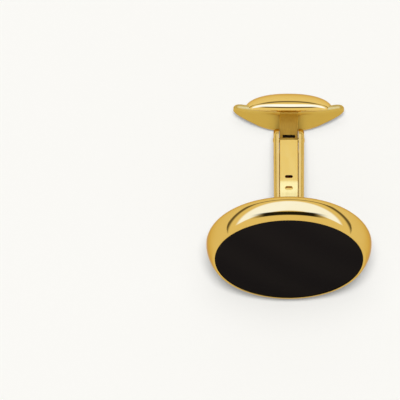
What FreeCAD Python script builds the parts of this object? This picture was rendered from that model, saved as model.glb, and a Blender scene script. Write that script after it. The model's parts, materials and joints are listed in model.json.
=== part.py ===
import FreeCAD, Part
import math
import os

# Cufflink with a round stone and a flip toggle, in millimetres.
# It is drawn with the post along +Y, the hinge pin along X and the seat of the cuff at y = 0,
# and is then leaned to lie on a table as it does when it is put down.

# Stone and its setting
stone_diameter = 16.0
stone_dome_height = 1.3
stone_edge_bevel = 0.1
stone_fit = 0.03
bezel_wall = 0.85
bezel_depth = 2.8
bezel_lip_overlap = 0.07
bezel_lip_land = 0.07
bezel_lip_round = 0.3
bezel_back_round = 0.9
ledge_width = 0.8
ledge_thickness = 0.4
back_plate_thickness = 0.6
back_plate_rim = 0.45
plate_fit = 0.01
cement_fit = 0.05

# Post: a pad, and a channel with two ears
pad_diameter = 5.2
pad_thickness = 0.45
pad_edge_round = 0.15
pin_height = 12.22
post_foot_width = 3.17
post_ear_width = 3.3
post_depth = 2.5
channel_width = 2.1
channel_floor = 0.9
channel_sole = 0.6
hinge_window = 1.0

# Leaf spring in the channel, and its rivet
spring_side_fit = 0.05
spring_thickness = 0.28
spring_recess = 0.15
spring_tip_gap = 0.62
spring_foot_length = 1.7
spring_rise_length = 3.0
spring_slot_length = 0.85
spring_slot_width = 0.36
spring_slot_height = 6.95
spring_stake_length = 0.85
spring_stake_width = 0.42
spring_stake_height = 5.57
spring_stake_depth = 0.27
rivet_diameter = 0.5
rivet_head_diameter = 0.95
rivet_head_height = 0.16
rivet_fit = 0.01

# Hinge pin and the tongue that turns on it
pin_diameter = 0.5
pin_proud = 0.05
pin_edge_bevel = 0.06
pin_press_fit = 0.005
pin_running_fit = 0.02
hub_side_fit = 0.06
hub_thickness = 1.1
hub_corner_round = 0.25
hub_flare_radius = 1.3
hub_notch_length = 1.3
hub_notch_height = 0.34
hub_notch_depth = 0.18
hub_notch_rise = 0.17

# Toggle: a swept plate with rounded ends, and a domed cap
flip_gap = 0.98
wing_thickness = 0.7
wing_sweep_radius = 12.5
wing_rise = 1.9
wing_half_width = 1.9
wing_flank_radius = 14.2
wing_end_round = 0.9
cap_half_length = 4.83
cap_half_width = 2.42
cap_plan_power = 2.2
cap_dome_fall_share = 0.17
cap_rim_radius = 0.81
cap_rim_roll = 54.0
cap_edge_step = 0.2
cap_section_angles = (-84.0, -70.0, -52.5, -35.0, -17.5, 0.0, 17.5, 35.0, 52.5, 70.0, 84.0)

HALF_TURN = 180.0
FULL_TURN = 360.0

# Sizes that follow from those above
stone_radius = stone_diameter / 2
bezel_radius = stone_radius + bezel_wall
bore_radius = stone_radius + stone_fit
lip_radius = stone_radius - bezel_lip_overlap
lip_y = -bezel_depth
widest_y = -bezel_back_round
ledge_y = -back_plate_thickness - ledge_thickness
ledge_bore_radius = bore_radius - ledge_width
back_plate_bore = bezel_radius - bezel_back_round - back_plate_rim
ear_radius = post_depth / 2
wing_base = pin_height + ear_radius + flip_gap
spring_front = ear_radius - spring_recess
floor_face = channel_floor - ear_radius
channel_bottom = pad_thickness + channel_sole
rivet_y = channel_bottom + spring_foot_length / 2
cap_rim_drop = cap_rim_radius * math.sin(math.radians(cap_rim_roll))
cap_rim_height = wing_base + cap_edge_step + cap_rim_drop

AXIS_X = FreeCAD.Vector(1, 0, 0)
AXIS_Y = FreeCAD.Vector(0, 1, 0)
AXIS_Z = FreeCAD.Vector(0, 0, 1)
ORIGIN = FreeCAD.Vector(0, 0, 0)


def at(x, y, z):
    """A point in the drawing's frame."""
    return FreeCAD.Vector(x, y, z)


def path_face(edges):
    """A flat face inside a closed run of edges."""
    shapes = [edge if isinstance(edge, Part.Edge) else edge.toShape() for edge in edges]
    return Part.Face(Part.Wire(shapes))


def polygon_face(points):
    """A flat face with straight sides."""
    return Part.Face(Part.makePolygon(points + [points[0]]))


def turned(edges):
    """A solid turned about the post's axis from a profile in the XY plane."""
    return path_face(edges).revolve(ORIGIN, AXIS_Y, FULL_TURN)


def on_arc(centre, radius, degrees):
    """A point of a circle in the XY plane, its angle counted from +X."""
    angle = math.radians(degrees)
    return at(centre.x + radius * math.cos(angle), centre.y + radius * math.sin(angle), 0)


def arc_between(centre, radius, start, end):
    """An arc in the XY plane between two angles."""
    middle = (start + end) / 2
    return Part.Arc(*(on_arc(centre, radius, angle) for angle in (start, middle, end)))


def line(start, end):
    """A straight edge."""
    return Part.LineSegment(start, end)


def chain(points):
    """Straight edges through a run of points."""
    return [line(start, end) for start, end in zip(points, points[1:])]


def spanning_box(x_span, y_span, z_span):
    """A box between two bounds on each axis."""
    size = [high - low for low, high in (x_span, y_span, z_span)]
    return Part.makeBox(*size, at(x_span[0], y_span[0], z_span[0]))


def is_straight(edge):
    """Whether an edge is a straight line."""
    return isinstance(edge.Curve, Part.Line)


def make_bezel_ring():
    """The ring: a broad shoulder rolled over the lip, a tighter rounded back and a ledge for the stone."""
    lip_centre = at(lip_radius + bezel_lip_land, lip_y + bezel_lip_round, 0)
    inset = bezel_radius - lip_centre.x
    reach = widest_y - lip_centre.y
    shoulder_radius = (inset ** 2 + reach ** 2 - bezel_lip_round ** 2) / (2 * (inset - bezel_lip_round))
    shoulder_centre = at(bezel_radius - shoulder_radius, widest_y, 0)
    shoulder_turn = math.degrees(math.atan2(reach, lip_centre.x - shoulder_centre.x))
    back_centre = at(bezel_radius - bezel_back_round, widest_y, 0)
    quarter = HALF_TURN / 2
    inside = [
        at(back_centre.x, 0, 0),
        at(back_plate_bore, 0, 0),
        at(back_plate_bore, -back_plate_thickness, 0),
        at(ledge_bore_radius, -back_plate_thickness, 0),
        at(ledge_bore_radius, ledge_y, 0),
        at(bore_radius, ledge_y, 0),
        at(bore_radius, lip_y + stone_edge_bevel + stone_fit, 0),
        at(lip_radius, lip_y, 0),
        at(lip_centre.x, lip_y, 0),
    ]
    lip = arc_between(lip_centre, bezel_lip_round, -quarter, -shoulder_turn)
    shoulder = arc_between(shoulder_centre, shoulder_radius, -shoulder_turn, 0)
    back = arc_between(back_centre, bezel_back_round, 0, quarter)
    return turned([lip, shoulder, back] + chain(inside))


def make_onyx_stone():
    """A low dome with a bevelled edge that the bezel's lip holds down."""
    crown_radius = stone_radius - stone_edge_bevel
    crown_y = lip_y + stone_fit
    dome_radius = (crown_radius ** 2 + stone_dome_height ** 2) / (2 * stone_dome_height)
    dome_turn = math.degrees(math.asin(crown_radius / dome_radius))
    dome_centre = at(0, crown_y - stone_dome_height + dome_radius, 0)
    down = -HALF_TURN / 2
    edge = [
        on_arc(dome_centre, dome_radius, down + dome_turn),
        at(stone_radius, crown_y + stone_edge_bevel, 0),
        at(stone_radius, ledge_y, 0),
        at(0, ledge_y, 0),
        at(0, crown_y - stone_dome_height, 0),
    ]
    return turned([arc_between(dome_centre, dome_radius, down, down + dome_turn)] + chain(edge))


def make_stone_cement():
    """The bed of cement between the stone and the back plate."""
    radius = ledge_bore_radius - cement_fit
    return Part.makeCylinder(radius, ledge_thickness, at(0, ledge_y, 0), AXIS_Y)


def make_back_plate():
    """The disc that closes the ring behind the stone."""
    radius = back_plate_bore - plate_fit
    return Part.makeCylinder(radius, back_plate_thickness, at(0, -back_plate_thickness, 0), AXIS_Y)


def make_post_pad():
    """The round pad on which the post stands."""
    pad = Part.makeCylinder(pad_diameter / 2, pad_thickness, ORIGIN, AXIS_Y)
    top_rims = [edge for edge in pad.Edges if edge.BoundBox.YMin > pad_thickness / 2]
    return pad.makeFillet(pad_edge_round, top_rims)


def make_post_channel():
    """A channel that widens a little to two round ears, open on its upper side."""
    top = pin_height + ear_radius
    foot = post_foot_width / 2
    ear = post_ear_width / 2
    outline = polygon_face([
        at(-foot, pad_thickness, -ear_radius),
        at(foot, pad_thickness, -ear_radius),
        at(ear, top, -ear_radius),
        at(-ear, top, -ear_radius),
    ])
    body = outline.extrude(AXIS_Z * post_depth)
    straight = spanning_box((-ear, ear), (pad_thickness, pin_height), (-ear_radius, ear_radius))
    ears = Part.makeCylinder(ear_radius, post_ear_width, at(-ear, pin_height, 0), AXIS_X)
    body = body.common(straight.fuse(ears))
    inner = channel_width / 2
    trough = spanning_box((-inner, inner), (channel_bottom, top), (floor_face, ear_radius))
    window = spanning_box((-inner, inner), (pin_height - hinge_window, top), (-ear_radius, ear_radius))
    pin_hole = Part.makeCylinder(
        pin_diameter / 2 + pin_press_fit, post_ear_width, at(-ear, pin_height, 0), AXIS_X
    )
    rivet_hole = Part.makeCylinder(
        rivet_diameter / 2 + rivet_fit, post_depth, at(0, rivet_y, -ear_radius), AXIS_Z
    )
    return body.cut(trough).cut(window).cut(pin_hole).cut(rivet_hole)


def oval_cutter(length, width, height, floor):
    """A cutter with an oval outline across the post, from a floor to the post's open side."""
    reach = (length - width) / 2
    cutter = spanning_box((-reach, reach), (height - width / 2, height + width / 2), (floor, ear_radius))
    for x in (-reach, reach):
        cutter = cutter.fuse(Part.makeCylinder(width / 2, ear_radius - floor, at(x, height, floor), AXIS_Z))
    return cutter


def make_leaf_spring():
    """A strip that rises from the channel's floor to its open side, with a slot and a stake mark."""
    foot_z = floor_face + spring_thickness / 2
    strip_z = spring_front - spring_thickness / 2
    rise_start = channel_bottom + spring_foot_length
    run = [
        at(0, channel_bottom + spring_thickness, foot_z),
        at(0, rise_start, foot_z),
        at(0, rise_start + spring_rise_length, strip_z),
        at(0, pin_height - spring_tip_gap - spring_thickness / 2, strip_z),
    ]
    side = Part.makePolygon(run).makeOffset2D(spring_thickness / 2, 0, True)
    width = channel_width - 2 * spring_side_fit
    strip = side.extrude(AXIS_X * width)
    strip.translate(at(-width / 2, 0, 0))
    slot = oval_cutter(spring_slot_length, spring_slot_width, spring_slot_height, floor_face)
    stake_floor = spring_front - spring_stake_depth
    stake = oval_cutter(spring_stake_length, spring_stake_width, spring_stake_height, stake_floor)
    hole = Part.makeCylinder(
        rivet_diameter / 2 + rivet_fit, post_depth, at(0, rivet_y, -ear_radius), AXIS_Z
    )
    return strip.cut(slot).cut(stake).cut(hole)


def make_spring_rivet():
    """A rivet with a low domed head on the spring's foot."""
    seat = floor_face + spring_thickness
    shank = Part.makeCylinder(rivet_diameter / 2, seat + ear_radius, at(0, rivet_y, -ear_radius), AXIS_Z)
    head_radius = rivet_head_diameter / 2
    ball_radius = (head_radius ** 2 + rivet_head_height ** 2) / (2 * rivet_head_height)
    ball = Part.makeSphere(ball_radius, at(0, rivet_y, seat + rivet_head_height - ball_radius))
    head_space = Part.makeCylinder(head_radius, ball_radius, at(0, rivet_y, seat), AXIS_Z)
    return shank.fuse(ball.common(head_space)).removeSplitter()


def make_hinge_pin():
    """The pin through both ears, with bevelled ends that stand a little proud."""
    length = post_ear_width + 2 * pin_proud
    pin = Part.makeCylinder(pin_diameter / 2, length, at(-length / 2, pin_height, 0), AXIS_X)
    rims = [edge for edge in pin.Edges if edge.BoundBox.XLength < pin_edge_bevel]
    return pin.makeChamfer(pin_edge_bevel, rims)


def wing_underside(x):
    """How far from the seat the toggle's underside is, at a place along the hinge's direction."""
    return wing_base + wing_sweep_radius - math.sqrt(wing_sweep_radius ** 2 - x ** 2)


def wing_column():
    """A column with the plate's outline: two arcs that meet in rounded ends."""
    offset = wing_flank_radius - wing_half_width
    flanks = [
        Part.makeCylinder(wing_flank_radius, wing_rise, at(0, wing_base, side * offset), AXIS_Y)
        for side in (-1, 1)
    ]
    column = flanks[0].common(flanks[1])
    tips = [edge for edge in column.Edges if abs(edge.CenterOfMass.x) > offset / 2 and is_straight(edge)]
    return column.makeFillet(wing_end_round, tips)


def make_wing_plate():
    """The toggle's plate, its ends swept away from the face."""
    start = at(0, wing_base + wing_sweep_radius, -wing_half_width)
    outer = Part.makeCylinder(wing_sweep_radius, 2 * wing_half_width, start, AXIS_Z)
    inner = Part.makeCylinder(wing_sweep_radius - wing_thickness, 2 * wing_half_width, start, AXIS_Z)
    return wing_column().common(outer.cut(inner))


def cap_section(degrees):
    """One cross-section of the cap: a flat base, two rolled rims and a dome that falls to the ends."""
    along_share = math.sin(math.radians(degrees))
    share = (1 - abs(along_share) ** cap_plan_power) ** (1 / cap_plan_power)
    x = cap_half_length * along_share
    rim = wing_underside(x) + cap_edge_step + cap_rim_drop * share
    half = cap_half_width * share
    rim_radius = cap_rim_radius * share
    height = half * (1 - cap_dome_fall_share * along_share ** 2)
    dome_radius = (half ** 2 + height ** 2) / (2 * height)
    dome_turn = 2 * math.atan(height / half)

    def rim_point(roll, side):
        angle = math.radians(roll)
        z = half - rim_radius + rim_radius * math.cos(angle)
        return at(x, rim - rim_radius * math.sin(angle), side * z)

    def dome_point(angle, side):
        y = rim + height - dome_radius + dome_radius * math.cos(angle)
        return at(x, y, side * dome_radius * math.sin(angle))

    rolls = (cap_rim_roll, cap_rim_roll / 2, 0)
    turns = (dome_turn, dome_turn / 2, 0)
    return Part.Wire([
        line(rim_point(cap_rim_roll, -1), rim_point(cap_rim_roll, 1)).toShape(),
        Part.Arc(*(rim_point(roll, 1) for roll in rolls)).toShape(),
        Part.Arc(*(dome_point(turn, 1) for turn in turns)).toShape(),
        Part.Arc(*(dome_point(turn, -1) for turn in reversed(turns))).toShape(),
        Part.Arc(*(rim_point(roll, -1) for roll in reversed(rolls))).toShape(),
    ])


def make_toggle_cap(wing_plate):
    """The domed cap, with the plate let into its base."""
    sections = [cap_section(angle) for angle in cap_section_angles]
    return Part.makeLoft(sections, True, False).cut(wing_plate)


def make_toggle_hub(wing_plate, toggle_cap):
    """The tongue: a square end around the pin, flared where it meets the toggle's underside."""
    half = hub_thickness / 2
    top = wing_base + wing_thickness
    flare = half + hub_flare_radius
    profile = polygon_face([
        at(0, pin_height - half, -half),
        at(0, pin_height - half, half),
        at(0, wing_base - hub_flare_radius, half),
        at(0, wing_base - hub_flare_radius, flare),
        at(0, top, flare),
        at(0, top, -flare),
        at(0, wing_base - hub_flare_radius, -flare),
        at(0, wing_base - hub_flare_radius, -half),
    ])
    width = channel_width - 2 * hub_side_fit
    hub = profile.extrude(AXIS_X * width)
    corners = [
        edge for edge in hub.Edges
        if edge.BoundBox.YMax < pin_height and edge.BoundBox.XLength > width / 2
    ]
    hub = hub.makeFillet(hub_corner_round, corners)
    for side in (-1, 1):
        centre = at(0, wing_base - hub_flare_radius, side * flare)
        hub = hub.cut(Part.makeCylinder(hub_flare_radius, width, centre, AXIS_X))
    hub.translate(at(-width / 2, 0, 0))
    notch_top = pin_height + hub_notch_rise + hub_notch_height / 2
    notch = spanning_box(
        (-hub_notch_length / 2, hub_notch_length / 2),
        (notch_top - hub_notch_height, notch_top),
        (half - hub_notch_depth, half),
    )
    bore = Part.makeCylinder(
        pin_diameter / 2 + pin_running_fit, width, at(-width / 2, pin_height, 0), AXIS_X
    )
    return hub.cut(bore).cut(notch).cut(wing_plate).cut(toggle_cap)


def lying_place(shapes):
    """Leans the cufflink until bezel and cap both touch the table, and centres it there."""
    across = bezel_radius - bezel_back_round
    along = cap_rim_height - widest_y
    slope = math.atan2(across, along)
    lean = slope + math.asin((bezel_back_round - cap_half_width) / math.hypot(across, along))
    turn = FreeCAD.Placement(ORIGIN, FreeCAD.Rotation(AXIS_X, -math.degrees(lean)))
    leaned = Part.makeCompound([shape.transformed(turn.toMatrix()) for shape in shapes])
    box = leaned.optimalBoundingBox(False, False)
    shift = at(-box.Center.x, -box.Center.y, -box.ZMin)
    return FreeCAD.Placement(shift, turn.Rotation)


def main():
    """Builds every piece, lays the cufflink down and writes one file for each piece."""
    wing_plate = make_wing_plate()
    toggle_cap = make_toggle_cap(wing_plate)
    pieces = {
        "bezel_ring": make_bezel_ring(),
        "onyx_stone": make_onyx_stone(),
        "stone_cement": make_stone_cement(),
        "back_plate": make_back_plate(),
        "post_pad": make_post_pad(),
        "post_channel": make_post_channel(),
        "leaf_spring": make_leaf_spring(),
        "spring_rivet": make_spring_rivet(),
        "hinge_pin": make_hinge_pin(),
        "toggle_hub": make_toggle_hub(wing_plate, toggle_cap),
        "wing_plate": wing_plate,
        "toggle_cap": toggle_cap,
    }
    place = lying_place(pieces.values())
    os.makedirs("parts", exist_ok=True)
    for name, shape in pieces.items():
        shape.transformed(place.toMatrix()).exportStep(f"parts/{name}.step")


main()
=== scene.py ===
"""A gold cufflink with a black onyx face and a flip toggle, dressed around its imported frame."""

import json
import logging
import math
from collections.abc import Callable, Iterable, Sequence
from dataclasses import dataclass
from enum import Enum

import bmesh
import bpy
from mathutils import Matrix, Vector


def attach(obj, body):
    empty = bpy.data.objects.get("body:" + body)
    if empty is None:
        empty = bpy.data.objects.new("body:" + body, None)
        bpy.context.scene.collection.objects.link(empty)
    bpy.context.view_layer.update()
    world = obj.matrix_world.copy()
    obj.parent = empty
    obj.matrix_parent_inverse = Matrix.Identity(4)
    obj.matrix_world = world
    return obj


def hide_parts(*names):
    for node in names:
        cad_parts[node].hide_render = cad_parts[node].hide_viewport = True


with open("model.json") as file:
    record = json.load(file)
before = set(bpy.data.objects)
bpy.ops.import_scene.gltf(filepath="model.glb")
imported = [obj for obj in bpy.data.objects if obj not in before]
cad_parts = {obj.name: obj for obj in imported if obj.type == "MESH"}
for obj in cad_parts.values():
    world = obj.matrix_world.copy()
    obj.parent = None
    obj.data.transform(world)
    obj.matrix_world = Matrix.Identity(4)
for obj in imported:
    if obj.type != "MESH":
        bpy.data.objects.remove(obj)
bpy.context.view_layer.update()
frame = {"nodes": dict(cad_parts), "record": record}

LOG = logging.getLogger("cufflink")
MM = 0.001
PICTURE_WIDTH = 400
QUARTER = math.pi / 2

# Millimetres that a cutter reaches past what it cuts
PAST = 1.0
# Points closer than this many millimetres are one point
MERGE_DISTANCE = 1e-5
# Edges sharper than this stay creases, unless a piece has an angle of its own
CREASE_DEGREES = 30.0
# Edges sharper than this are rounded, and the flats beside them weigh this much in the shading
EASE_DEGREES = 35.0
FLAT_WEIGHT = 50
# How far a diagonal wave texture's phase turns over one unit of length
WAVE_TURN = 10.0 * math.sqrt(3.0)

Point = tuple[float, float]
Triple = tuple[float, float, float]
Colour = tuple[float, float, float, float]
Socket = bpy.types.NodeSocket


class Body(Enum):
    """The bodies that pieces ride on."""

    FACE = "face_and_post"
    TOGGLE = "toggle"


class Slot(Enum):
    """The record's material slots."""

    GOLD = "polished_gold"
    SPRING = "spring_gold"
    ONYX = "black_onyx"
    CEMENT = "setting_cement"


class Axis(Enum):
    """Which way a turned piece's axis points, as the matrix that turns +Z onto it."""

    POST = Matrix.Rotation(-QUARTER, 4, "X")
    PIN = Matrix.Rotation(QUARTER, 4, "Y")
    RISE = Matrix.Identity(4)


# Colours and nodes


def linear(colour: str) -> Colour:
    """Turns an sRGB hex colour into linear RGBA, by the sRGB standard's curve.

    Args:
        colour: The colour as "#RRGGBB".

    Returns:
        Linear red, green and blue, and an alpha of one.
    """
    shares = [int(colour[i:i + 2], 16) / 255 for i in (1, 3, 5)]
    curved = [s / 12.92 if s <= 0.04045 else ((s + 0.055) / 1.055) ** 2.4 for s in shares]
    return (*curved, 1.0)


def add_node(
    tree: bpy.types.NodeTree, kind: str, links: dict[str | int, object] | None = None, **settings: object
) -> bpy.types.Node:
    """Adds a node with its settings, and links or sets its inputs.

    Args:
        tree: The tree that gets the node.
        kind: The node's type.
        links: For an input's name or number, the socket that feeds it or its value.
        **settings: The node's own properties.

    Returns:
        The new node.
    """
    node = tree.nodes.new(kind)
    for name, value in settings.items():
        setattr(node, name, value)
    for key, source in (links or {}).items():
        if isinstance(source, Socket):
            tree.links.new(source, node.inputs[key])
        else:
            node.inputs[key].default_value = source
    return node


def new_material(name: str) -> tuple[bpy.types.Material, bpy.types.NodeTree, Socket]:
    """Makes a node material that has nothing but coordinates.

    Args:
        name: The material's name.

    Returns:
        The material, its node tree and the piece's Object coordinates.
    """
    material = bpy.data.materials.new(name)
    material.use_nodes = True
    tree = material.node_tree
    tree.nodes.clear()
    return material, tree, add_node(tree, "ShaderNodeTexCoord").outputs["Object"]


# Finishes


@dataclass(frozen=True)
class GoldFinish:
    """Yellow gold, cast or rolled and then buffed on a wheel."""

    name: str
    colour: str
    toned: str
    roughness: float
    roughness_spread: float
    edge: str = "#DCC0A2"
    cloud_mm: float = 2.5
    cloud_detail: float = 3.0
    buff_mm: float = 0.12
    buff_stretch: float = 9.0
    buff_detail: float = 2.0
    buff_span: Point = (0.3, 0.7)
    buff_height_mm: float = 0.00006

    def make(self) -> bpy.types.Material:
        """Makes the material.

        Returns:
            A metal whose tone drifts a little, with faint marks of the buffing wheel.
        """
        material, tree, place = new_material(self.name)
        # The alloy's tone drifts by a few percent over a few millimetres
        cloud = add_node(
            tree, "ShaderNodeTexNoise",
            {"Vector": place, "Scale": 1 / (self.cloud_mm * MM), "Detail": self.cloud_detail},
        )
        tone = add_node(
            tree, "ShaderNodeMix", {0: cloud.outputs["Fac"], 6: linear(self.colour), 7: linear(self.toned)},
            data_type="RGBA",
        )
        # Buffing leaves fine marks in one direction, drawn wider than they are so that they show
        along = add_node(
            tree, "ShaderNodeMapping",
            {"Vector": place, "Scale": (self.buff_stretch, 1.0, self.buff_stretch)}, vector_type="POINT",
        )
        marks = add_node(
            tree, "ShaderNodeTexNoise",
            {
                "Vector": along.outputs[0], "Scale": 1 / (self.buff_mm * MM * self.buff_stretch),
                "Detail": self.buff_detail,
            },
        )
        rough = add_node(
            tree, "ShaderNodeMapRange",
            {
                "Value": marks.outputs["Fac"], "From Min": self.buff_span[0], "From Max": self.buff_span[1],
                "To Min": self.roughness, "To Max": self.roughness + self.roughness_spread,
            },
        )
        bump = add_node(
            tree, "ShaderNodeBump",
            {"Height": marks.outputs["Fac"], "Strength": 1.0, "Distance": self.buff_height_mm * MM},
        )
        # The edge tint keeps gold warm where it turns away, and not white
        shader = add_node(
            tree, "ShaderNodeBsdfPrincipled",
            {
                "Base Color": tone.outputs[2], "Metallic": 1.0, "Roughness": rough.outputs[0],
                "Specular Tint": linear(self.edge), "Normal": bump.outputs[0],
            },
        )
        add_node(tree, "ShaderNodeOutputMaterial", {"Surface": shader.outputs[0]})
        return material


@dataclass(frozen=True)
class OnyxFinish:
    """Black onyx, cut as a low cabochon and polished: nearly black, warm, with bands hardly seen."""

    name: str = "black onyx, polished cabochon"
    colour: str = "#161110"
    band: str = "#1A1513"
    band_mm: float = 5.0
    band_wander: float = 3.0
    band_detail: float = 2.0
    band_detail_scale: float = 0.6
    roughness: float = 0.06
    gloss: float = 0.0045

    def make(self) -> bpy.types.Material:
        """Makes the material.

        Returns:
            A dark polished stone with faint parallel bands.
        """
        material, tree, place = new_material(self.name)
        bands = add_node(
            tree, "ShaderNodeTexWave",
            {
                "Vector": place, "Scale": 2 * math.pi / (WAVE_TURN * self.band_mm * MM),
                "Distortion": self.band_wander, "Detail": self.band_detail,
                "Detail Scale": self.band_detail_scale,
            },
            wave_type="BANDS", bands_direction="DIAGONAL",
        )
        tone = add_node(
            tree, "ShaderNodeMix", {0: bands.outputs["Fac"], 6: linear(self.colour), 7: linear(self.band)},
            data_type="RGBA",
        )
        stone = add_node(
            tree, "ShaderNodeBsdfPrincipled",
            {"Base Color": tone.outputs[2], "Roughness": self.roughness, "Specular IOR Level": 0.0},
        )
        # The polish shows as a dim, even sheen, and no light leaves a bright spot in it
        sheen = add_node(
            tree, "ShaderNodeBsdfAnisotropic", {"Color": linear("#FFFFFF"), "Roughness": self.roughness}
        )
        shader = add_node(
            tree, "ShaderNodeMixShader", {0: self.gloss, 1: stone.outputs[0], 2: sheen.outputs[0]}
        )
        add_node(tree, "ShaderNodeOutputMaterial", {"Surface": shader.outputs[0]})
        return material


@dataclass(frozen=True)
class GrainFinish:
    """A matt surface with a fine grain: setting cement, paper, or the painted near-black shade in the bottom
    of a notch.
    """

    name: str
    colour: str
    grain: str
    grain_mm: float
    roughness: float
    grain_detail: float = 4.0

    def make(self) -> bpy.types.Material:
        """Makes the material.

        Returns:
            A matt, speckled surface.
        """
        material, tree, place = new_material(self.name)
        speckle = add_node(
            tree, "ShaderNodeTexNoise",
            {"Vector": place, "Scale": 1 / (self.grain_mm * MM), "Detail": self.grain_detail},
        )
        tone = add_node(
            tree, "ShaderNodeMix", {0: speckle.outputs["Fac"], 6: linear(self.colour), 7: linear(self.grain)},
            data_type="RGBA",
        )
        shader = add_node(
            tree, "ShaderNodeBsdfPrincipled",
            {"Base Color": tone.outputs[2], "Roughness": self.roughness, "Specular IOR Level": 0.0},
        )
        add_node(tree, "ShaderNodeOutputMaterial", {"Surface": shader.outputs[0]})
        return material


# The ring is buffed to a mirror, so the room shows in it with hard edges
MIRROR_GOLD = GoldFinish("yellow gold, mirror polished", "#E4C069", "#DEB75D", 0.03, 0.02)
# The cap has the same mirror on a slightly paler gold, painted light that stands in for the dome's brighter
# reflection
CAP_GOLD_PAINTED_LIGHT = GoldFinish("yellow gold, mirror polished, paler as painted light", "#ECCA74", "#E6C169", 0.03, 0.02)
# The post is satin: its lights are broad and soft-edged
SATIN_GOLD = GoldFinish("yellow gold, satin polished", "#E6C267", "#DFB95D", 0.16, 0.05, buff_mm=0.3)
# The spring is rolled, so a light fades slowly along its bend
SPRING_GOLD = GoldFinish("rolled gold spring strip, satin", "#EAC259", "#E3B950", 0.17, 0.05, buff_mm=0.3)
# The plate is polished by hand: no shape of the room can be made out in it. Its gold is darker than the
# ring's, painted shade that stands in for the shaded table its underside mirrors
WING_GOLD_PAINTED_SHADE = GoldFinish("yellow gold, softly polished, darker as painted shade", "#D8B65A", "#D1AE52", 0.3, 0.06)
# The tongue is left as cast between the ears, and looks even and deep in tone
TONGUE_GOLD = GoldFinish("yellow gold, matt cast", "#E0B842", "#D7AE3A", 0.85, 0.1)
# The notch's inside is painted nearly black, as painted shade for the deep slot
NOTCH_PAINTED_SHADE = GrainFinish("gold notch, painted near-black shade", "#0E0A06", "#1C140B", 0.15, 0.7)
# Cement is a dull, speckled grey
SETTING_CEMENT = GrainFinish("setting cement, matt", "#8A8378", "#6F685E", 0.3, 0.85)
# Paper is even and warm white, with fibres that are hardly seen
PALE_PAPER = GrainFinish("pale paper, matt", "#FAF9F5", "#F9F8F4", 0.4, 1.0, grain_detail=2.0)


# Meshes, drawn in millimetres with the post along +Y and the cuff's seat at y = 0


def arc(centre: Point, radius: float, start: float, end: float, steps: int) -> list[Point]:
    """Points of an arc, both ends included.

    Args:
        centre: The arc's centre.
        radius: Its radius.
        start: The first point's angle in degrees.
        end: The last point's angle in degrees.
        steps: How many chords the arc has.

    Returns:
        The points in order.
    """
    angles = [math.radians(start + (end - start) * i / steps) for i in range(steps + 1)]
    return [(centre[0] + radius * math.cos(a), centre[1] + radius * math.sin(a)) for a in angles]


def finished(builder: bmesh.types.BMesh, name: str) -> bpy.types.Mesh:
    """Merges doubles, points the faces outwards and returns the mesh.

    Args:
        builder: The mesh being built, which is freed.
        name: The new mesh's name.

    Returns:
        The mesh.
    """
    bmesh.ops.remove_doubles(builder, verts=builder.verts, dist=MERGE_DISTANCE)
    bmesh.ops.recalc_face_normals(builder, faces=builder.faces)
    mesh = bpy.data.meshes.new(name)
    builder.to_mesh(mesh)
    builder.free()
    return mesh


def loft(rings: Sequence[Sequence[Vector]], name: str) -> bpy.types.Mesh:
    """Joins closed rings of points into a skin and closes its ends.

    Args:
        rings: The rings, all with the same count; a ring of one point is a pole.
        name: The new mesh's name.

    Returns:
        The closed mesh.
    """
    builder = bmesh.new()
    made = [[builder.verts.new(point) for point in ring] for ring in rings]
    for one, two in zip(made, made[1:]):
        count = max(len(one), len(two))
        for i in range(count):
            corners = [one[i % len(one)], one[(i + 1) % len(one)], two[(i + 1) % len(two)], two[i % len(two)]]
            # A pole stands in a ring's corner twice and is named once
            builder.faces.new(dict.fromkeys(corners))
    for end in (made[0], made[-1]):
        if len(end) > 1:
            middle = builder.verts.new(sum((v.co for v in end), Vector()) / len(end))
            for i in range(len(end)):
                builder.faces.new((end[i], end[(i + 1) % len(end)], middle))
    return finished(builder, name)


def turned(profile: Sequence[Point], axis: Axis, origin: Vector, steps: int, name: str) -> bpy.types.Mesh:
    """Turns a profile about an axis.

    Args:
        profile: Radius and height of each point, from one end of the axis to the other.
        axis: The axis's direction.
        origin: Where height 0 of the axis is.
        steps: How many steps the turn has.
        name: The new mesh's name.

    Returns:
        The closed mesh.
    """
    place = Matrix.Translation(origin) @ axis.value
    angles = [2 * math.pi * i / steps for i in range(steps)]
    rings = []
    for radius, height in profile:
        around = angles if radius > 0 else angles[:1]
        rings.append([place @ Vector((radius * math.cos(a), radius * math.sin(a), height)) for a in around])
    return loft(rings, name)


def prism(outline: Sequence[Point], half_width: Callable[[float], float], name: str) -> bpy.types.Mesh:
    """A flat outline, made as wide as a rule says.

    Args:
        outline: Height along the post and rise of each corner.
        half_width: Half the width at a height along the post.
        name: The new mesh's name.

    Returns:
        The closed mesh.
    """
    builder = bmesh.new()
    sides = [[builder.verts.new((side * half_width(p), p, u)) for p, u in outline] for side in (-1, 1)]
    for side in sides:
        builder.faces.new(side)
    for i in range(len(outline)):
        j = (i + 1) % len(outline)
        builder.faces.new((sides[0][i], sides[0][j], sides[1][j], sides[1][i]))
    return finished(builder, name)


def block(xs: Point, ps: Point, us: Point) -> bpy.types.Mesh:
    """A box to cut with.

    Args:
        xs: Its bounds along the pin's direction.
        ps: Its bounds along the post.
        us: Its bounds along the post's rise.

    Returns:
        The closed mesh.
    """
    outline = [(ps[0], us[0]), (ps[1], us[0]), (ps[1], us[1]), (ps[0], us[1])]
    mesh = prism(outline, lambda p: (xs[1] - xs[0]) / 2, "cutter")
    mesh.transform(Matrix.Translation(((xs[0] + xs[1]) / 2, 0, 0)))
    return mesh


def linked(mesh: bpy.types.Mesh) -> bpy.types.Object:
    """Puts a mesh into the scene as an object of the same name.

    Args:
        mesh: The mesh.

    Returns:
        The object, at the origin.
    """
    obj = bpy.data.objects.new(mesh.name, mesh)
    bpy.context.scene.collection.objects.link(obj)
    return obj


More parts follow.
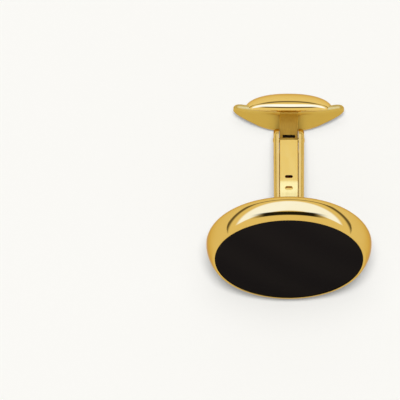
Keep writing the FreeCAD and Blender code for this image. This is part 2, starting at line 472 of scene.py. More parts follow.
def baked(obj: bpy.types.Object) -> bpy.types.Mesh:
    """Turns an object with its modifiers into a plain mesh and removes the object.

    Args:
        obj: The object.

    Returns:
        The mesh as its modifiers leave it.
    """
    shape = obj.evaluated_get(bpy.context.evaluated_depsgraph_get())
    mesh = bpy.data.meshes.new_from_object(shape)
    mesh.name = obj.name
    bpy.data.objects.remove(obj)
    return mesh


def carved(mesh: bpy.types.Mesh, cutters: Iterable[bpy.types.Mesh]) -> bpy.types.Mesh:
    """Cuts meshes out of a mesh.

    Args:
        mesh: What is cut.
        cutters: What is taken away.

    Returns:
        The cut mesh.
    """
    host = linked(mesh)
    tools = [linked(cutter) for cutter in cutters]
    for tool in tools:
        cut = host.modifiers.new("cut", "BOOLEAN")
        cut.operation, cut.solver, cut.object = "DIFFERENCE", "EXACT", tool
    result = baked(host)
    for tool in tools:
        bpy.data.objects.remove(tool)
    return result


def smooth(mesh: bpy.types.Mesh, crease_degrees: float = CREASE_DEGREES) -> bpy.types.Mesh:
    """Shades a mesh smoothly, except across creases.

    Args:
        mesh: The mesh, which is changed.
        crease_degrees: The angle from which an edge stays a crease.

    Returns:
        The same mesh.
    """
    mesh.polygons.foreach_set("use_smooth", [True] * len(mesh.polygons))
    mesh.set_sharp_from_angle(angle=math.radians(crease_degrees))
    return mesh


def eased(mesh: bpy.types.Mesh, width: float, steps: int) -> bpy.types.Mesh:
    """Rounds the edges of a mesh as a buffing wheel does, and keeps its flats flat.

    Args:
        mesh: The mesh with sharp edges.
        width: The rounding's width.
        steps: How many faces cross a rounding.

    Returns:
        The rounded mesh, with no creases.
    """
    host = linked(mesh)
    bevel = host.modifiers.new("ease", "BEVEL")
    bevel.width, bevel.segments = width, steps
    bevel.limit_method, bevel.angle_limit = "ANGLE", math.radians(EASE_DEGREES)
    smooth(mesh, math.degrees(math.pi))
    flats = host.modifiers.new("flats", "WEIGHTED_NORMAL")
    flats.mode, flats.weight = "FACE_AREA", FLAT_WEIGHT
    return baked(host)


# Node trees for shapes that follow a path


def new_tree(name: str, inputs: dict[str, str]) -> tuple[bpy.types.NodeTree, bpy.types.Node]:
    """Makes a geometry tree with named inputs.

    Args:
        name: The tree's name.
        inputs: The socket type of each input by its name.

    Returns:
        The tree and its input node.
    """
    tree = bpy.data.node_groups.new(name, "GeometryNodeTree")
    for label, kind in inputs.items():
        tree.interface.new_socket(label, in_out="INPUT", socket_type=kind)
    tree.interface.new_socket("Geometry", in_out="OUTPUT", socket_type="NodeSocketGeometry")
    return tree, add_node(tree, "NodeGroupInput")


def close_tree(tree: bpy.types.NodeTree, shape: Socket, finish: Socket) -> None:
    """Ends a geometry tree with its instances made real and its material set.

    Args:
        tree: The geometry tree.
        shape: The finished geometry.
        finish: The material input.
    """
    real = add_node(tree, "GeometryNodeRealizeInstances", {0: shape})
    dressed = add_node(tree, "GeometryNodeSetMaterial", {"Geometry": real.outputs[0], "Material": finish})
    add_node(tree, "NodeGroupOutput", {0: dressed.outputs[0]})


def ring_tree() -> bpy.types.NodeTree:
    """Makes the tree that sweeps a profile round a circle.

    Returns:
        The tree, with the ring's radius, its steps and its finish as inputs.
    """
    tree, given = new_tree("profile round a ring", {
        "Profile": "NodeSocketGeometry", "Ring radius": "NodeSocketFloat", "Steps": "NodeSocketInt",
        "Finish": "NodeSocketMaterial",
    })
    profile = add_node(tree, "GeometryNodeMeshToCurve", {"Mesh": given.outputs["Profile"]})
    circle = add_node(
        tree, "GeometryNodeCurvePrimitiveCircle",
        {"Resolution": given.outputs["Steps"], "Radius": given.outputs["Ring radius"]},
    )
    level = add_node(tree, "GeometryNodeSetCurveNormal", {"Curve": circle.outputs[0]}, mode="Z_UP")
    swept = add_node(
        tree, "GeometryNodeCurveToMesh", {"Curve": level.outputs[0], "Profile Curve": profile.outputs[0]}
    )
    close_tree(tree, swept.outputs[0], given.outputs["Finish"])
    return tree


def strip_tree() -> bpy.types.NodeTree:
    """Makes the tree that bends a strip with rounded edges along a path.

    Returns:
        The tree, with the strip's section, its bends, their steps and its finish as inputs.
    """
    tree, given = new_tree("strip along a bent path", {
        "Path": "NodeSocketGeometry", "Width": "NodeSocketFloat", "Thickness": "NodeSocketFloat",
        "Edge radius": "NodeSocketFloat", "Edge steps": "NodeSocketInt", "Bend radius": "NodeSocketFloat",
        "Bend steps": "NodeSocketInt", "Finish": "NodeSocketMaterial",
    })
    path = add_node(tree, "GeometryNodeMeshToCurve", {"Mesh": given.outputs["Path"]})
    bends = add_node(
        tree, "GeometryNodeFilletCurve",
        {
            "Curve": path.outputs[0], "Radius": given.outputs["Bend radius"],
            "Count": given.outputs["Bend steps"], "Limit Radius": True,
        },
        mode="POLY",
    )
    level = add_node(tree, "GeometryNodeSetCurveNormal", {"Curve": bends.outputs[0]}, mode="Z_UP")
    section = add_node(
        tree, "GeometryNodeCurvePrimitiveQuadrilateral",
        {"Width": given.outputs["Width"], "Height": given.outputs["Thickness"]},
    )
    edges = add_node(
        tree, "GeometryNodeFilletCurve",
        {
            "Curve": section.outputs[0], "Radius": given.outputs["Edge radius"],
            "Count": given.outputs["Edge steps"], "Limit Radius": True,
        },
        mode="POLY",
    )
    swept = add_node(
        tree, "GeometryNodeCurveToMesh",
        {"Curve": level.outputs[0], "Profile Curve": edges.outputs[0], "Fill Caps": True},
    )
    close_tree(tree, swept.outputs[0], given.outputs["Finish"])
    return tree


def grown(
    points: Sequence[Vector], closed: bool, tree: bpy.types.NodeTree, values: dict[str, object], name: str
) -> bpy.types.Mesh:
    """Runs a geometry tree on a line of points and keeps the result as a plain mesh.

    Args:
        points: The line's points.
        closed: Whether the line returns to its start.
        tree: The geometry tree.
        values: The value of each of the tree's inputs by its name.
        name: The new mesh's name.

    Returns:
        The mesh.
    """
    mesh = bpy.data.meshes.new(name)
    count = len(points)
    edges = [(i, (i + 1) % count) for i in range(count if closed else count - 1)]
    mesh.from_pydata(points, edges, [])
    host = linked(mesh)
    grow = host.modifiers.new("grow", "NODES")
    grow.node_group = tree
    for item in tree.interface.items_tree:
        if item.in_out == "INPUT" and item.name in values:
            grow[item.identifier] = values[item.name]
    return baked(host)


# The cufflink


@dataclass(frozen=True)
class Lay:
    """How the cufflink lies: its seat, and the directions of its post and of its upper side."""

    seat: Vector
    post: Vector
    rise: Vector

    @classmethod
    def of_record(cls, record: dict) -> "Lay":
        """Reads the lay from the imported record's cuff seat.

        Args:
            record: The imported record.

        Returns:
            The lay.
        """
        mount = next(m for m in record["mounts"] if m["name"] == "cuff_seat")
        post = Vector(mount["axis"]).normalized()
        seat = Vector((0.0, *mount["pos_m"][1:]))
        return cls(seat, post, Vector((1, 0, 0)).cross(post))

    def matrix(self) -> Matrix:
        """The matrix from drawn millimetres to the frame's metres."""
        turn = Matrix((Vector((1, 0, 0)), self.post, self.rise)).transposed().to_4x4()
        return Matrix.Translation(self.seat) @ turn @ Matrix.Scale(MM, 4)


@dataclass(frozen=True)
class Piece:
    """What a finished piece is called, rides on and stands for."""

    name: str
    body: Body
    node: str
    slot: Slot

    def settle(self, mesh: bpy.types.Mesh, lay: Lay, *finishes: bpy.types.Material) -> None:
        """Lays a drawn mesh down, dresses it and hands it to the frame.

        Args:
            mesh: The drawn mesh.
            lay: How the cufflink lies.
            *finishes: The piece's materials.
        """
        mesh.transform(lay.matrix())
        mesh.name = self.name
        for finish in finishes:
            if finish.name not in mesh.materials:
                mesh.materials.append(finish)
        obj = linked(mesh)
        # The paper takes the piece's shadow from the lamps, and no tint of gold
        obj.visible_diffuse = False
        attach(obj, self.body.value)
        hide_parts(self.node)
        LOG.info("%s: %d faces on %s", self.name, len(mesh.polygons), self.body.value)


@dataclass
class Face:
    """The face: a bezel ring, a domed stone and the plate that closes its back."""

    stone_radius: float = 8.0
    stone_dome: float = 1.3
    stone_edge: float = 0.1
    stone_fit: float = 0.03
    wall: float = 0.85
    depth: float = 2.8
    lip_overlap: float = 0.07
    lip_land: float = 0.07
    lip_round: float = 0.3
    back_round: float = 0.9
    ledge_width: float = 0.8
    ledge_thickness: float = 0.4
    plate_thickness: float = 0.6
    plate_rim: float = 0.45
    plate_fit: float = 0.01
    plate_edge: float = 0.05
    steps: int = 256
    lip_steps: int = 16
    shoulder_steps: int = 64
    back_steps: int = 40
    dome_steps: int = 48

    @property
    def radius(self) -> float:
        """The bezel's outer radius."""
        return self.stone_radius + self.wall

    @property
    def ledge(self) -> float:
        """Where the stone's underside is."""
        return -self.plate_thickness - self.ledge_thickness

    def bezel_profile(self) -> list[Point]:
        """The ring's section: a broad front shoulder, a tight back and a ledge under the stone.

        Returns:
            Radius and height of each corner, closed.
        """
        bore = self.stone_radius + self.stone_fit
        lip = self.stone_radius - self.lip_overlap
        inset = self.radius - lip - self.lip_land
        reach = self.depth - self.lip_round - self.back_round
        sweep = (inset ** 2 + reach ** 2 - self.lip_round ** 2) / (2 * (inset - self.lip_round))
        turn = math.degrees(math.atan2(reach, sweep - inset))
        plate_bore = self.radius - self.back_round - self.plate_rim
        lip_centre = (lip + self.lip_land, self.lip_round - self.depth)
        back_centre = (self.radius - self.back_round, -self.back_round)
        rolled = arc(lip_centre, self.lip_round, -90, -turn, self.lip_steps)
        shoulder = arc((self.radius - sweep, -self.back_round), sweep, -turn, 0, self.shoulder_steps)
        back = arc(back_centre, self.back_round, 0, 90, self.back_steps)
        inside = [
            (plate_bore, 0), (plate_bore, -self.plate_thickness),
            (bore - self.ledge_width, -self.plate_thickness), (bore - self.ledge_width, self.ledge),
            (bore, self.ledge), (bore, -self.depth + self.stone_edge + self.stone_fit), (lip, -self.depth),
        ]
        return rolled + shoulder[1:] + back[1:] + inside

    def make_bezel(self, finish: bpy.types.Material) -> bpy.types.Mesh:
        """Sweeps the bezel's section round the stone.

        Args:
            finish: The ring's material.

        Returns:
            The drawn ring.
        """
        points = [Vector((r - self.radius, p, 0)) for r, p in self.bezel_profile()]
        values = {"Ring radius": self.radius, "Steps": self.steps, "Finish": finish}
        mesh = grown(points, True, ring_tree(), values, "bezel")
        mesh.transform(Matrix.Rotation(QUARTER, 4, "X"))
        return smooth(mesh)

    def make_stone(self) -> bpy.types.Mesh:
        """Turns the stone: a low dome with a small bevel at its edge.

        Returns:
            The drawn stone.
        """
        crown = self.stone_radius - self.stone_edge
        top = -self.depth + self.stone_fit
        sweep = (crown ** 2 + self.stone_dome ** 2) / (2 * self.stone_dome)
        turn = math.degrees(math.asin(crown / sweep))
        dome = arc((0, top - self.stone_dome + sweep), sweep, -90, -90 + turn, self.dome_steps)
        profile = [
            (0, dome[0][1]), *dome[1:], (self.stone_radius, top + self.stone_edge),
            (self.stone_radius, self.ledge), (0, self.ledge),
        ]
        return smooth(turned(profile, Axis.POST, Vector(), self.steps, "cabochon"))

    def make_plate(self) -> bpy.types.Mesh:
        """Turns the back plate, with a small bevel at its edge.

        Returns:
            The drawn plate.
        """
        radius = self.radius - self.back_round - self.plate_rim - self.plate_fit
        low, edge = -self.plate_thickness, self.plate_edge
        profile = [(0, low), (radius, low), (radius, -edge), (radius - edge, 0), (radius / 2, 0), (0, 0)]
        return smooth(turned(profile, Axis.POST, Vector(), self.steps, "back_disc"))

    def build(self, lay: Lay) -> None:
        """Builds and dresses the face's pieces.

        Args:
            lay: How the cufflink lies.
        """
        gold, onyx = MIRROR_GOLD.make(), OnyxFinish().make()
        Piece("bezel", Body.FACE, "bezel_ring", Slot.GOLD).settle(self.make_bezel(gold), lay, gold)
        Piece("cabochon", Body.FACE, "onyx_stone", Slot.ONYX).settle(self.make_stone(), lay, onyx)
        Piece("back_disc", Body.FACE, "back_plate", Slot.GOLD).settle(self.make_plate(), lay, gold)
        cement = SETTING_CEMENT.make()
        for slot in frame["nodes"]["stone_cement"].material_slots:
            slot.material = cement


@dataclass
class Post:
    """The post: a pad, a channel with two ears, a leaf spring with its rivet, and the hinge pin."""

    pad_radius: float = 2.6
    pad_thickness: float = 0.45
    pad_round: float = 0.15
    pad_middle: float = 1.0
    pin_height: float = 12.22
    foot_width: float = 3.17
    ear_width: float = 3.3
    depth: float = 2.5
    channel_width: float = 2.1
    channel_floor: float = 0.9
    channel_sole: float = 0.6
    channel_ease: float = 0.05
    rail_round: float = 0.4
    hinge_window: float = 1.0
    spring_fit: float = 0.05
    spring_thickness: float = 0.28
    spring_recess: float = 0.15
    spring_tip_gap: float = 0.62
    spring_foot: float = 1.7
    spring_rise: float = 3.0
    spring_bend: float = 4.0
    spring_ease: float = 0.07
    slot_length: float = 0.85
    slot_width: float = 0.36
    slot_height: float = 6.95
    stake_length: float = 0.85
    stake_width: float = 0.42
    stake_height: float = 5.57
    stake_depth: float = 0.27
    rivet_radius: float = 0.25
    rivet_head: float = 0.475
    rivet_head_height: float = 0.16
    pin_radius: float = 0.25
    pin_proud: float = 0.05
    pin_bevel: float = 0.06
    pad_steps: int = 128
    pad_edge_steps: int = 8
    ear_steps: int = 48
    rail_steps: int = 8
    ease_steps: int = 2
    oval_steps: int = 12
    bend_steps: int = 12
    strip_edge_steps: int = 4
    rivet_steps: int = 48
    rivet_dome_steps: int = 12
    pin_steps: int = 64

    @property
    def reach(self) -> float:
        """Half the post's depth, and the ears' radius."""
        return self.depth / 2

    @property
    def floor(self) -> float:
        """Where the channel's floor is."""
        return self.channel_floor - self.reach

    @property
    def sole(self) -> float:
        """Where the channel starts above the pad."""
        return self.pad_thickness + self.channel_sole

    def make_pad(self) -> bpy.types.Mesh:
        """Turns the pad with its rounded upper edge.

        Returns:
            The drawn pad.
        """
        centre = (self.pad_radius - self.pad_round, self.pad_thickness - self.pad_round)
        profile = [
            (0, 0), (self.pad_radius, 0), *arc(centre, self.pad_round, 0, 90, self.pad_edge_steps),
            (self.pad_middle, self.pad_thickness), (0, self.pad_thickness),
        ]
        return smooth(turned(profile, Axis.POST, Vector(), self.pad_steps, "pad"))

    def make_channel(self) -> bpy.types.Mesh:
        """Cuts the channel and the hinge's window out of a post with a round end.

        Returns:
            The drawn channel.
        """
        top = self.pin_height + self.reach
        ends = arc((self.pin_height, 0), self.reach, -90, 90, self.ear_steps)
        low = self.pad_thickness - PAST
        outline = [(low, -self.reach)] + ends + [(low, self.reach)]

        def half(p: float) -> float:
            """Half the post's width at a height."""
            share = (p - self.pad_thickness) / (top - self.pad_thickness)
            return (self.foot_width + (self.ear_width - self.foot_width) * share) / 2

        inner = (-self.channel_width / 2, self.channel_width / 2)
        wide = (-self.ear_width, self.ear_width)
        through = (-self.reach - PAST, self.reach + PAST)
        trough = block(inner, (self.sole, top + PAST), (self.floor, self.reach + PAST))
        window = block(inner, (self.pin_height - self.hinge_window, top + PAST), through)
        foot = block(wide, (low - PAST, self.pad_thickness), (-self.depth, self.depth))
        rail = eased(prism(outline, half, "channel_post"), self.rail_round, self.rail_steps)
        return eased(carved(rail, [trough, window, foot]), self.channel_ease, self.ease_steps)

    def oval(self, length: float, width: float, height: float, floor: float) -> bpy.types.Mesh:
        """A cutter with an oval outline that lies across the post.

        Args:
            length: The oval's length across the post.
            width: Its width along the post.
            height: Where its middle is along the post.
            floor: How deep it reaches.

        Returns:
            The cutter, which reaches past the post's open side.
        """
        reach = (length - width) / 2
        outline = arc((reach, height), width / 2, -90, 90, self.oval_steps)
        outline += arc((-reach, height), width / 2, 90, 270, self.oval_steps)
        return loft([[Vector((x, p, u)) for x, p in outline] for u in (floor, self.reach + PAST)], "cutter")

    def make_spring(self, finish: bpy.types.Material) -> bpy.types.Mesh:
        """Bends the spring's strip along its path, cuts its slot and presses its oval stake mark.

        Args:
            finish: The strip's material.

        Returns:
            The drawn spring.
        """
        foot = self.floor + self.spring_thickness / 2
        strip = self.reach - self.spring_recess - self.spring_thickness / 2
        start = self.sole + self.spring_foot
        path = [
            (self.sole + self.spring_thickness, foot), (start, foot),
            (start + self.spring_rise, strip), (self.pin_height - self.spring_tip_gap, strip),
        ]
        values = {
            "Width": self.channel_width - 2 * self.spring_fit, "Thickness": self.spring_thickness,
            "Edge radius": self.spring_ease, "Edge steps": self.strip_edge_steps,
            "Bend radius": self.spring_bend, "Bend steps": self.bend_steps, "Finish": finish,
        }
        mesh = grown([Vector((0, p, u)) for p, u in path], False, strip_tree(), values, "spring_leaf")
        slot = self.oval(self.slot_length, self.slot_width, self.slot_height, 0.0)
        floor = self.reach - self.spring_recess - self.stake_depth
        stake = self.oval(self.stake_length, self.stake_width, self.stake_height, floor)
        return smooth(carved(mesh, [slot, stake]))

    def make_rivet(self) -> bpy.types.Mesh:
        """Turns the rivet with its low domed head.

        Returns:
            The drawn rivet.
        """
        seat = self.floor + self.spring_thickness
        ball = (self.rivet_head ** 2 + self.rivet_head_height ** 2) / (2 * self.rivet_head_height)
        turn = math.degrees(math.asin(self.rivet_head / ball))
        centre = (0, seat + self.rivet_head_height - ball)
        dome = arc(centre, ball, 90 - turn, 90, self.rivet_dome_steps)
        shank = [(0, -self.reach), (self.rivet_radius, -self.reach), (self.rivet_radius, seat)]
        profile = shank + dome[:-1] + [(0, dome[-1][1])]
        origin = Vector((0, self.sole + self.spring_foot / 2, 0))
        return smooth(turned(profile, Axis.RISE, origin, self.rivet_steps, "rivet"))

    def make_pin(self) -> bpy.types.Mesh:
        """Turns the hinge pin with its bevelled ends.

        Returns:
            The drawn pin.
        """
        half = self.ear_width / 2 + self.pin_proud
        face = self.pin_radius - self.pin_bevel
        side = [(0, half), (face, half), (self.pin_radius, half - self.pin_bevel)]
        profile = [(r, -h) for r, h in side] + [(r, h) for r, h in reversed(side)]
        origin = Vector((0, self.pin_height, 0))
        return smooth(turned(profile, Axis.PIN, origin, self.pin_steps, "pin"))

    def build(self, lay: Lay) -> None:
        """Builds and dresses the post's pieces.

        Args:
            lay: How the cufflink lies.
        """
        gold, spring = SATIN_GOLD.make(), SPRING_GOLD.make()
        leaf = self.make_spring(spring)
        Piece("pad", Body.FACE, "post_pad", Slot.GOLD).settle(self.make_pad(), lay, gold)
        Piece("channel_post", Body.FACE, "post_channel", Slot.GOLD).settle(self.make_channel(), lay, gold)
        Piece("spring_leaf", Body.FACE, "leaf_spring", Slot.SPRING).settle(leaf, lay, spring)
        Piece("rivet", Body.FACE, "spring_rivet", Slot.SPRING).settle(self.make_rivet(), lay, spring)
        Piece("pin", Body.FACE, "hinge_pin", Slot.SPRING).settle(self.make_pin(), lay, spring)


@dataclass
class Toggle:
    """The toggle: a tongue on the post's pin, a swept plate with rounded ends and a domed cap."""

    post: Post
    flip_gap: float = 0.98
    tongue_width: float = 1.98
    tongue_thickness: float = 1.1
    tongue_round: float = 0.25
    tongue_ease: float = 0.06
    flare: float = 1.3
    flare_sink: float = 0.25
    notch_length: float = 1.3
    notch_height: float = 0.34
    notch_depth: float = 0.18
    notch_rise: float = 0.17
    wing_thickness: float = 0.7
    wing_rise: float = 1.9
    wing_sweep: float = 12.5
    wing_half_width: float = 1.9
    wing_flank: float = 14.2
    wing_end: float = 0.9
    wing_ease: float = 0.45
    wing_brim: float = 0.08
    wing_blend: float = 0.1
    wing_crease: float = 50.0
    cap_half_length: float = 4.83
    cap_half_width: float = 2.42
    cap_plan_power: float = 2.2
    cap_dome_fall: float = 0.17
    cap_rim: float = 0.81
    cap_rim_roll: float = 54.0
    cap_step: float = 0.2
    cap_crease: float = 40.0
    end_degrees: float = 89.0
    corner_steps: int = 8
    brim_steps: int = 4
    flare_steps: int = 24
    ease_steps: int = 2
    wing_steps: int = 120
    cap_steps: int = 144
    cap_rim_steps: int = 16
    cap_dome_steps: int = 32
    # The most of the plate's half width and of its thickness that a rounding takes
    half_share: float = 0.98
    brim_share: float = 0.48
    # Where points stand along a section's straight sides
    side_shares: tuple[float, ...] = (0.04, 0.2, 0.4, 0.6, 0.8, 0.96)
    base_shares: tuple[float, ...] = (0.9, 0.5, 0.0, -0.5, -0.9)

    @property
    def base(self) -> float:
        """Where the toggle's underside is, on the post's axis."""
        return self.post.pin_height + self.post.reach + self.flip_gap

    @property
    def wing_offset(self) -> float:
        """How far the middle of a flank's arc is from the post's axis."""
        return self.wing_flank - self.wing_half_width

    @property
    def wing_end_middle(self) -> float:
        """Where the middle of an end's rounding is along the pin's direction."""
        return math.sqrt((self.wing_flank - self.wing_end) ** 2 - self.wing_offset ** 2)

    def stations(self, steps: int) -> list[float]:
        """Even angles in degrees from end to end, whose sines stand close together at the ends."""
        return [self.end_degrees * (2 * i / steps - 1) for i in range(steps + 1)]

    def underside(self, x: float) -> float:
        """How far from the seat the underside is, at a place along the pin's direction."""
        return self.base + self.wing_sweep - math.sqrt(self.wing_sweep ** 2 - x ** 2)

    def make_tongue(self) -> bpy.types.Mesh:
        """Cuts the tongue's notch, and gives the notch's inside the second material, a painted near-black
        shade.

        Returns:
            The drawn tongue.
        """
        half, ease = self.tongue_thickness / 2, self.tongue_round
        pin, waist = self.post.pin_height, self.base - self.flare
        right = arc((pin - half + ease, half - ease), ease, 180, 90, self.corner_steps)
        right += arc((waist, half + self.flare), self.flare, -90, 0, self.flare_steps)
        right.append((self.base + self.flare_sink, half + self.flare))
        outline = right + [(p, -u) for p, u in reversed(right)]
        tongue = prism(outline, lambda p: self.tongue_width / 2, "tongue")
        top = pin + self.notch_rise + self.notch_height / 2
        xs = (-self.notch_length / 2, self.notch_length / 2)
        ps, us = (top - self.notch_height, top), (half - self.notch_depth, half + PAST)
        mesh = eased(carved(tongue, [block(xs, ps, us)]), self.tongue_ease, self.ease_steps)
        edge = self.tongue_ease
        # The faces inside the notch take the painted shade
        for face in mesh.polygons:
            x, p, u = face.center
            inside = abs(x) < xs[1] + edge and ps[0] - edge < p < ps[1] + edge
            face.material_index = int(inside and half / 2 < u < half - edge / 2)
        return mesh

    def wing_width(self, x: float) -> float:
        """Half the plate's width: two arcs that meet in rounded ends.

        Args:
            x: The place along the pin's direction.

        Returns:
            The half width there.
        """
        middle = self.wing_end_middle
        if abs(x) < middle * self.wing_flank / (self.wing_flank - self.wing_end):
            return math.sqrt(self.wing_flank ** 2 - x ** 2) - self.wing_offset
        return math.sqrt(max(self.wing_end ** 2 - (abs(x) - middle) ** 2, 0))

    def wing_ring(self, x: float) -> list[Vector]:
        """One section of the plate: a rectangle with a broad rounding below and a small one above.

        Args:
            x: The place along the pin's direction.

        Returns:
            The section's points, closed.
        """
        half, low = self.wing_width(x), self.underside(x)
        # The upper side follows the sweep up to a level, and the two blend
        tops = (low + self.wing_thickness, self.base + self.wing_rise)
        high = -self.wing_blend * math.log(sum(math.exp(-top / self.wing_blend) for top in tops))
        brim = min(self.wing_brim, half * self.half_share, (high - low) * self.brim_share)
        ease = min(self.wing_ease, half * self.half_share, high - low - brim)
        corners = [
            arc((half - ease, low + ease), ease, -90, 0, self.corner_steps),
            arc((half - brim, high - brim), brim, 0, 90, self.brim_steps),
            arc((brim - half, high - brim), brim, 90, 180, self.brim_steps),
            arc((ease - half, low + ease), ease, 180, 270, self.corner_steps),
        ]
        points = []
        for corner, following in zip(corners, corners[1:] + corners[:1]):
            points += corner
            (u0, p0), (u1, p1) = corner[-1], following[0]
            points += [(u0 + (u1 - u0) * s, p0 + (p1 - p0) * s) for s in self.side_shares]
        return [Vector((x, p, u)) for u, p in points]

    def make_wing(self) -> bpy.types.Mesh:
        """Lofts the plate from end to end.

        Returns:
            The drawn plate.
        """
        tip = self.wing_end_middle + self.wing_end
        places = [tip * math.sin(math.radians(degrees)) for degrees in self.stations(self.wing_steps)]
        return smooth(loft([self.wing_ring(x) for x in places], "wing"), self.wing_crease)

    def cap_ring(self, degrees: float) -> list[Vector]:
        """One section of the cap: a flat base, two rolled rims and a dome that falls to the ends.

        Args:
            degrees: The place along the pin's direction, as an angle from the middle.

        Returns:
            The section's points, closed.
        """
        along = math.sin(math.radians(degrees))
        share = (1 - abs(along) ** self.cap_plan_power) ** (1 / self.cap_plan_power)
        x = self.cap_half_length * along
        roll = self.cap_rim * share
        rim = self.underside(x) + self.cap_step + roll * math.sin(math.radians(self.cap_rim_roll))
        half = self.cap_half_width * share
        height = half * (1 - self.cap_dome_fall * along ** 2)
        sweep = (half ** 2 + height ** 2) / (2 * height)
        turn = math.degrees(2 * math.atan(height / half))
        right = arc((half - roll, rim), roll, -self.cap_rim_roll, 0, self.cap_rim_steps)
        right += arc((0, rim + height - sweep), sweep, 90 - turn, 90, self.cap_dome_steps)[1:]
        left = [(-u, p) for u, p in reversed(right[:-1])]
        base = [(left[-1][0] * s, left[-1][1]) for s in self.base_shares]
        return [Vector((x, p, u)) for u, p in right + left + base]

    def make_cap(self) -> bpy.types.Mesh:
        """Lofts the cap from end to end.

        Returns:
            The drawn cap.
        """
        rings = [self.cap_ring(degrees) for degrees in self.stations(self.cap_steps)]
        return smooth(loft(rings, "cap"), self.cap_crease)

    def build(self, lay: Lay) -> None:
        """Builds and dresses the toggle's pieces.

        Args:
            lay: How the cufflink lies.
        """
        cast, dark = TONGUE_GOLD.make(), NOTCH_PAINTED_SHADE.make()
        # The notch's inside takes the near-black painted shade
        Piece("tongue", Body.TOGGLE, "toggle_hub", Slot.GOLD).settle(self.make_tongue(), lay, cast, dark)
        # The plate's darker gold is painted shade
        Piece("wing", Body.TOGGLE, "wing_plate", Slot.GOLD).settle(self.make_wing(), lay, WING_GOLD_PAINTED_SHADE.make())
        # The cap's paler gold is painted light
        Piece("cap", Body.TOGGLE, "toggle_cap", Slot.GOLD).settle(self.make_cap(), lay, CAP_GOLD_PAINTED_LIGHT.make())


# The studio


@dataclass(frozen=True)
class Lamp:
    """A far, soft lamp, leaned back from straight above, with its share of the table's light."""

    name: str
    lean_degrees: float
    width_degrees: float
    share: float

    def make(self) -> None:
        """Hangs the lamp, which lights the table and is left out of what the gold mirrors."""
        data = bpy.data.lights.new(self.name, "SUN")
        lean = math.radians(self.lean_degrees)
        # A lamp that leans lights the table less, and its strength makes up for that
        data.energy = math.pi * self.share / math.cos(lean)
        data.angle = math.radians(self.width_degrees)
        lamp = bpy.data.objects.new(self.name, data)
        bpy.context.scene.collection.objects.link(lamp)
        lamp.matrix_world = Matrix.Rotation(-lean, 4, "X")
        lamp.visible_glossy = False


@dataclass(frozen=True)
class Fade:
    """A soft edge in the room, between two levels of a height that is measured along a direction.

    Directions and levels are parts of a ray of length one. A bow bends the edge by the squares of
    the ray's parts, and a mirrored fade is the same on both sides of the middle.
    """

    along: Triple
    off: float
    full: float
    bow: Triple = (0.0, 0.0, 0.0)
    mirrored: bool = False

    def make(self, tree: bpy.types.NodeTree, ray: Socket) -> Socket:
        """Adds the fade's nodes.

        Args:
            tree: The room's tree.
            ray: The direction that is looked at.

        Returns:
            The fade's strength, from 0 to 1.
        """
        flat = add_node(tree, "ShaderNodeVectorMath", {0: ray, 1: self.along}, operation="DOT_PRODUCT")
        squares = add_node(tree, "ShaderNodeVectorMath", {0: ray, 1: ray}, operation="MULTIPLY")
        bent = add_node(
            tree, "ShaderNodeVectorMath", {0: squares.outputs["Vector"], 1: self.bow}, operation="DOT_PRODUCT"
        )
        height = add_node(
            tree, "ShaderNodeMath", {0: flat.outputs["Value"], 1: bent.outputs["Value"]}, operation="ADD"
        )
        if self.mirrored:
            height = add_node(tree, "ShaderNodeMath", {0: height.outputs[0]}, operation="ABSOLUTE")
        step = add_node(
            tree, "ShaderNodeMapRange",
            {"Value": height.outputs[0], "From Min": self.off, "From Max": self.full},
            interpolation_type="SMOOTHSTEP",
        )
        return step.outputs[0]


@dataclass(frozen=True)
class Layer:
    """A light or dark field of the room, painted over the ones before it where its fades are full."""

    colour: Colour
    fades: tuple[Fade, ...]

    def make(self, tree: bpy.types.NodeTree, ray: Socket, under: Socket | Colour) -> Socket:
        """Adds the layer's nodes.

        Args:
            tree: The room's tree.
            ray: The direction that is looked at.
            under: The colour so far.

        Returns:
            The colour with this layer over it.
        """
        share = 1.0
        for fade in self.fades:
            strength = fade.make(tree, ray)
            share = add_node(tree, "ShaderNodeMath", {0: share, 1: strength}, operation="MULTIPLY").outputs[0]
        painted = add_node(tree, "ShaderNodeMix", {0: share, 6: under, 7: self.colour}, data_type="RGBA")
        return painted.outputs[2]


# Up, leaned towards the camera: the room's horizon runs along it
SKYWARD = (0.0, -0.34, 1.0)
ROOM_LAYERS = (
    # A large softbox fills the sky behind and beside the cufflink, above a dark line
    Layer((1.27, 1.75, 5.0, 1.0), (
        Fade((0.0, 1.0, -0.15), -0.03, 0.02, bow=(0.3, 0.0, 0.0)), Fade(SKYWARD, 0.31, 0.43),
    )),
    # A dark strip hangs over the cufflink, where the camera is
    Layer((0.02, 0.02, 0.02, 1.0), (
        Fade((0.0, 1.0, 0.05), 0.16, 0.1, mirrored=True), Fade((1.0, 0.0, 0.0), 0.82, 0.5, mirrored=True),
    )),
    # The room is dim at the horizon, and the table goes on below it
    Layer((0.16, 0.15, 0.13, 1.0), (Fade(SKYWARD, 0.18, 0.06),)),
    Layer((0.98, 0.97, 0.95, 1.0), (Fade(SKYWARD, 0.01, -0.08),)),
)


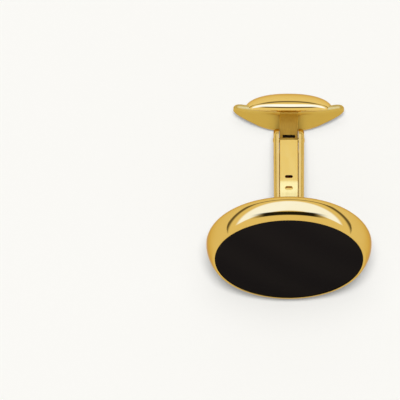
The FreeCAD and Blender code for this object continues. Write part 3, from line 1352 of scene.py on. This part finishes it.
@dataclass
class Studio:
    """A pale table, soft light from behind and above, and a camera that looks down on the face."""

    face: Face
    room: Colour = (0.97, 0.95, 0.86, 1.0)
    around: Colour = (0.31, 0.31, 0.31, 1.0)
    lamps: tuple[Lamp, ...] = (
        Lamp("lamp over the table", -2.0, 14.0, 0.52), Lamp("lamp behind", 14.0, 36.0, 0.18),
    )
    table_half: float = 1.5
    table_drop: float = 0.00001
    table_steps: int = 8
    camera_distance: float = 1.2
    camera_nearest: float = 0.01
    face_ratio: float = 0.528
    pixel: float = 0.1068
    face_pixel: Point = (289.0, 259.4)
    roll_degrees: float = 0.15
    sensor: float = 36.0

    def make_table(self) -> None:
        """Lays the table's pale paper under the cufflink."""
        builder = bmesh.new()
        steps = self.table_steps
        bmesh.ops.create_grid(builder, x_segments=steps, y_segments=steps, size=self.table_half)
        mesh = bpy.data.meshes.new("table")
        builder.to_mesh(mesh)
        builder.free()
        mesh.transform(Matrix.Translation((0, 0, -self.table_drop)))
        mesh.materials.append(PALE_PAPER.make())
        linked(mesh)

    def make_room(self) -> None:
        """Makes the room that the gold mirrors, and the even light in it."""
        world = bpy.data.worlds.new("studio")
        bpy.context.scene.world = world
        world.use_nodes = True
        tree = world.node_tree
        tree.nodes.clear()
        ray = add_node(tree, "ShaderNodeTexCoord").outputs["Generated"]
        mirrored = self.room
        for layer in ROOM_LAYERS:
            mirrored = layer.make(tree, ray, mirrored)
        # Gold sees the room, the table sees an even grey, and the camera sees paper
        path = add_node(tree, "ShaderNodeLightPath").outputs
        seen = self.around
        for kind, colour in (("Is Glossy Ray", mirrored), ("Is Camera Ray", linear(PALE_PAPER.colour))):
            mix = add_node(tree, "ShaderNodeMix", {0: path[kind], 6: seen, 7: colour}, data_type="RGBA")
            seen = mix.outputs[2]
        back = add_node(tree, "ShaderNodeBackground", {"Color": seen})
        add_node(tree, "ShaderNodeOutputWorld", {"Surface": back.outputs[0]})

    def make_camera(self, lay: Lay) -> None:
        """Hangs the camera where the face's outline has the picture's ratio and place.

        Args:
            lay: How the cufflink lies.
        """
        steep = math.sqrt(1 - self.face_ratio ** 2)
        sight = lay.post * self.face_ratio - lay.rise * steep
        level_up = lay.post * steep + lay.rise * self.face_ratio
        roll = math.radians(self.roll_degrees)
        right = Vector((1, 0, 0)) * math.cos(roll) + level_up * math.sin(roll)
        up = level_up * math.cos(roll) - Vector((1, 0, 0)) * math.sin(roll)
        pixel = self.pixel * MM
        middle = PICTURE_WIDTH / 2
        face = lay.seat - lay.post * self.face.depth * MM
        aside, down = (middle - place for place in self.face_pixel)
        target = face + right * aside * pixel - up * down * pixel
        data = bpy.data.cameras.new("camera")
        data.sensor_width = self.sensor
        data.lens = self.sensor * self.camera_distance / (PICTURE_WIDTH * pixel)
        data.clip_start = self.camera_nearest
        camera = bpy.data.objects.new("camera", data)
        bpy.context.scene.collection.objects.link(camera)
        turn = Matrix((right, up, -sight)).transposed().to_4x4()
        camera.matrix_world = Matrix.Translation(target - sight * self.camera_distance) @ turn
        bpy.context.scene.camera = camera

    def build(self, lay: Lay) -> None:
        """Builds the studio around the cufflink.

        Args:
            lay: How the cufflink lies.
        """
        self.make_table()
        self.make_room()
        for lamp in self.lamps:
            lamp.make()
        self.make_camera(lay)
        bpy.context.scene.view_settings.view_transform = "Standard"


def main() -> None:
    """Builds the cufflink's sub-assemblies in order, then the studio."""
    logging.basicConfig(level=logging.INFO, format="%(name)s: %(message)s")
    lay = Lay.of_record(frame["record"])
    face, post = Face(), Post()
    for part in (face, post, Toggle(post), Studio(face)):
        part.build(lay)
        LOG.info("%s is built", type(part).__name__)


if __name__ == "__main__":
    main()
